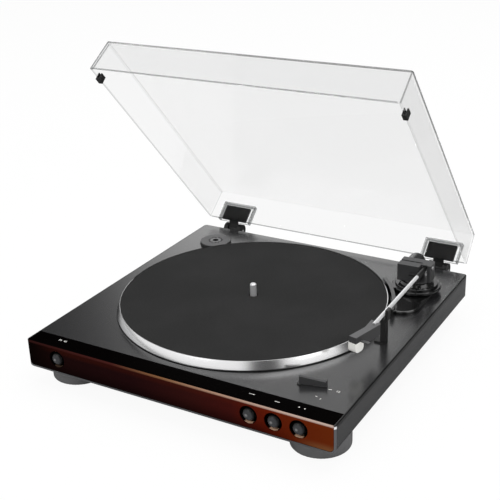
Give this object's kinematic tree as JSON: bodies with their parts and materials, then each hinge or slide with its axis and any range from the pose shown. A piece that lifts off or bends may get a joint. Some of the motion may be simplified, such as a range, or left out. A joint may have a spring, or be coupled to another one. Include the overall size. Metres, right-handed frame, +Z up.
{
  "type": "record player",
  "caption": "Automatic belt-drive record player with round feet, a felt-topped platter, a straight tonearm and a hinged clear dust cover standing open.",
  "frame": {"origin": "on the spindle's axis, in the plane of the mat's top that a record lies on", "axes": "+Z up along the spindle, +X to the right and +Y to the rear, seen from the front panel"},
  "size_m": [0.3595, 0.3912, 0.3313],
  "materials": {
    "case_plastic": "satin dark grey",
    "cover_plate": "matt black",
    "panel_gloss": "gloss, dark red at the left to amber brown at the right",
    "button_gloss": "gloss dark",
    "foot_plastic": "satin dark grey",
    "foot_rubber": "matt",
    "screw_steel": "plated",
    "spindle_steel": "polished",
    "seat_metal": "turned",
    "washer_plastic": "smooth",
    "platter_aluminium": "satin rim with a bright bevel",
    "bush_brass": "turned",
    "gear_plastic": "moulded",
    "mat_felt": "black felt",
    "motor_metal": "drawn can",
    "bracket_steel": "pressed",
    "soft_rubber": "soft",
    "belt_rubber": "flat ground",
    "shaft_steel": "ground",
    "base_gloss": "gloss black",
    "arm_black": "satin black",
    "arm_grey": "satin grey",
    "weight_metal": "satin black",
    "tube_aluminium": "bright",
    "cartridge_black": "matt",
    "stylus_white": "ivory white",
    "cantilever_metal": "plain",
    "adapter_plastic": "satin",
    "clear_plastic": "clear, colourless",
    "hinge_black": "satin black",
    "bumper_rubber": "matt",
    "socket_black": "matt",
    "board_green": "lacquered"
  },
  "bodies": {
    "case": {"plinth": "case_plastic", "bottom_cover": "cover_plate", "front_panel": "panel_gloss", "feet": "foot_plastic", "foot_pads": "foot_rubber", "case_screws": "screw_steel", "spindle": "spindle_steel", "bearing_seat": "seat_metal", "thrust_washer": "washer_plastic", "motor": "motor_metal", "motor_bracket": "bracket_steel", "motor_grommets": "soft_rubber", "motor_screws": "screw_steel", "drive_belt": "belt_rubber", "tonearm_base": "base_gloss", "arm_base_screws": "screw_steel", "arm_rest": "arm_black", "hinge_brackets": "hinge_black", "hinge_pins": "shaft_steel", "hinge_screws": "screw_steel", "output_jack": "socket_black", "dc_jack": "socket_black", "line_switch_body": "socket_black", "control_board": "board_green", "board_screws": "screw_steel", "speed_switch": "socket_black"},
    "turning_platter": {"platter": "platter_aluminium", "platter_bush": "bush_brass", "platter_mat": "mat_felt", "hub_gear": "gear_plastic"},
    "rotor": {"motor_shaft": "shaft_steel", "motor_pulley": "bush_brass"},
    "arm_carriage": {"arm_yoke": "arm_grey", "arm_shaft": "shaft_steel", "arm_drive_plate": "bracket_steel", "counterweight": "weight_metal", "pivot_pins": "shaft_steel"},
    "tonearm": {"arm_sleeve": "arm_black", "arm_tube": "tube_aluminium", "headshell": "arm_grey", "cartridge": "cartridge_black", "stylus_holder": "stylus_white", "cantilever": "cantilever_metal"},
    "lifter": {"arm_lifter": "arm_black"},
    "start": {"start_button": "button_gloss"},
    "stop": {"stop_button": "button_gloss"},
    "lift": {"lift_button": "button_gloss"},
    "speed": {"speed_button": "button_gloss"},
    "selector": {"size_selector": "arm_black"},
    "cam": {"cam_gear": "gear_plastic"},
    "adapter": {"adapter_45": "adapter_plastic"},
    "switch_slider": {"line_switch_slider": "socket_black"},
    "cover": {"dust_cover": "clear_plastic", "hinge_leaves": "hinge_black", "cover_bumpers": "bumper_rubber"}
  },
  "joints": [
    {"name": "platter_spin", "type": "hinge", "parent": "case", "child": "turning_platter", "pos_m": [0, 0, 0], "axis": [0, 0, 1], "continuous": true},
    {"name": "motor_spin", "type": "hinge", "parent": "case", "child": "rotor", "pos_m": [-0.07354, 0.07354, -0.013], "axis": [0, 0, 1], "continuous": true},
    {"name": "tonearm_swing", "type": "hinge", "parent": "case", "child": "arm_carriage", "pos_m": [0.14951, 0.10817, 0], "axis": [0, 0, -1], "range_deg": [0, 40]},
    {"name": "tonearm_lift", "type": "hinge", "parent": "arm_carriage", "child": "tonearm", "pos_m": [0.15934, 0.10854, 0.02], "axis": [-0.9993, -0.0366, 0], "range_deg": [-1.65, 3]},
    {"name": "lifter_slide", "type": "slide", "parent": "case", "child": "lifter", "axis": [0, 0, 1], "range_m": [-0.0005, 0.0009]},
    {"name": "lift_press", "type": "slide", "parent": "case", "child": "lift", "axis": [0, 1, 0], "range_m": [-0.0012, 0.0021]},
    {"name": "cover_hinge", "type": "hinge", "parent": "case", "child": "cover", "pos_m": [0.007, 0.183, -0.0145], "axis": [-1, 0, 0], "range_deg": [-48.6, 0]},
    {"name": "start_press", "type": "slide", "parent": "case", "child": "start", "axis": [0, 1, 0], "range_m": [0, 0.003], "stiffness_N_per_m": 180},
    {"name": "stop_press", "type": "slide", "parent": "case", "child": "stop", "axis": [0, 1, 0], "range_m": [0, 0.003], "stiffness_N_per_m": 180},
    {"name": "speed_press", "type": "slide", "parent": "case", "child": "speed", "axis": [0, 1, 0], "range_m": [0, 0.003], "stiffness_N_per_m": 180},
    {"name": "selector_turn", "type": "hinge", "parent": "case", "child": "selector", "pos_m": [0.1252, -0.1302, -0.01], "axis": [0, 0, 1], "range_deg": [-37, 0]},
    {"name": "line_switch_slide", "type": "slide", "parent": "case", "child": "switch_slider", "axis": [1, 0, 0], "range_m": [0, 0.004]},
    {"name": "adapter_lift_off", "type": "slide", "parent": "case", "child": "adapter", "axis": [0, 0, 1], "range_m": [0, 0.02]},
    {"name": "cam_turn", "type": "hinge", "parent": "case", "child": "cam", "pos_m": [0.022, -0.0381, -0.016], "axis": [0, 0, 1], "range_deg": [-8, 8]}
  ],
  "couplings": [
    {"joint": "motor_spin", "follows": "platter_spin", "ratio": 16},
    {"joint": "lifter_slide", "follows": "tonearm_lift", "m_per_rad": 0.0157},
    {"joint": "lift_press", "follows": "tonearm_lift", "m_per_rad": 0.038}
  ]
}
